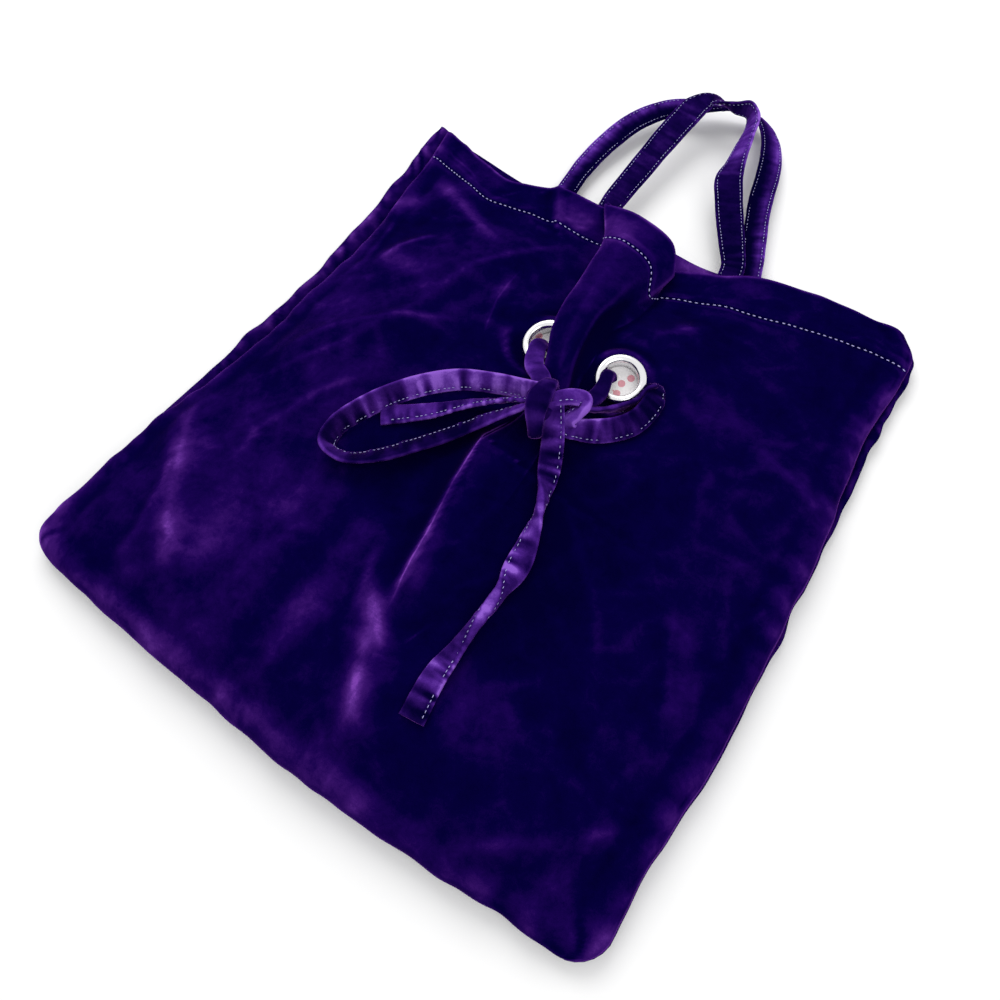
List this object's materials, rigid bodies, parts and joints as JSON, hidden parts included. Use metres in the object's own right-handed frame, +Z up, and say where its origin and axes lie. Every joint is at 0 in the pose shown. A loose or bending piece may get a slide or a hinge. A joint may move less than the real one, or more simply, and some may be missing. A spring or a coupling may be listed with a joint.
{
  "type": "velvet drawstring bag",
  "caption": "Flat lined velvet bag lying on its back, closed by a velvet tie that runs through metal eyelets and is knotted in a bow, with strap handles sewn inside its mouth.",
  "frame": {"origin": "middle of the bag and its handles in plan, on the table under the back panel", "axes": "+X across the bag to the right as seen from above its front, +Y from the bottom edge to the mouth and the handles, +Z up out of the front panel"},
  "size_m": [0.3044, 0.4354, 0.0488],
  "materials": {
    "velvet": "deep purple velvet pile",
    "tie_velvet": "purple velvet strap, edge stitched",
    "lining": "smooth white woven lining with a small pink print",
    "nickel": "polished nickel plate"
  },
  "bodies": {
    "bag": {"front_panel": "velvet", "back_panel": "velvet", "front_lining": "lining", "back_lining": "lining", "left_eyelet": "nickel", "left_washer": "nickel", "right_eyelet": "nickel", "right_washer": "nickel", "front_left_tab": "velvet", "front_right_tab": "velvet", "back_left_tab": "velvet", "back_right_tab": "velvet", "tie_yoke": "tie_velvet", "tie_knot": "tie_velvet", "tie_left_loop": "tie_velvet", "tie_right_loop": "tie_velvet"},
    "front_handle": {"front_handle": "velvet"},
    "back_handle": {"back_handle": "velvet"},
    "left_tail": {"tie_left_tail": "tie_velvet"},
    "right_tail": {"tie_right_tail": "tie_velvet"}
  },
  "joints": [
    {"name": "front_handle_swing", "type": "hinge", "parent": "bag", "child": "front_handle", "pos_m": [-0.00069, 0.10465, 0.00988], "axis": [1, 0, 0], "range_deg": [0, 95]},
    {"name": "back_handle_swing", "type": "hinge", "parent": "bag", "child": "back_handle", "pos_m": [-0.00091, 0.11265, 0.005], "axis": [1, 0, 0], "range_deg": [0, 95]},
    {"name": "left_tail_pull", "type": "slide", "parent": "bag", "child": "left_tail", "axis": [-0.6032, -0.4731, 0.6422], "range_m": [0, 0.03], "deforming": ["tie_left_loop"]},
    {"name": "right_tail_pull", "type": "slide", "parent": "bag", "child": "right_tail", "axis": [0.13, -0.7558, 0.6418], "range_m": [0, 0.04], "deforming": ["tie_right_loop"]}
  ]
}
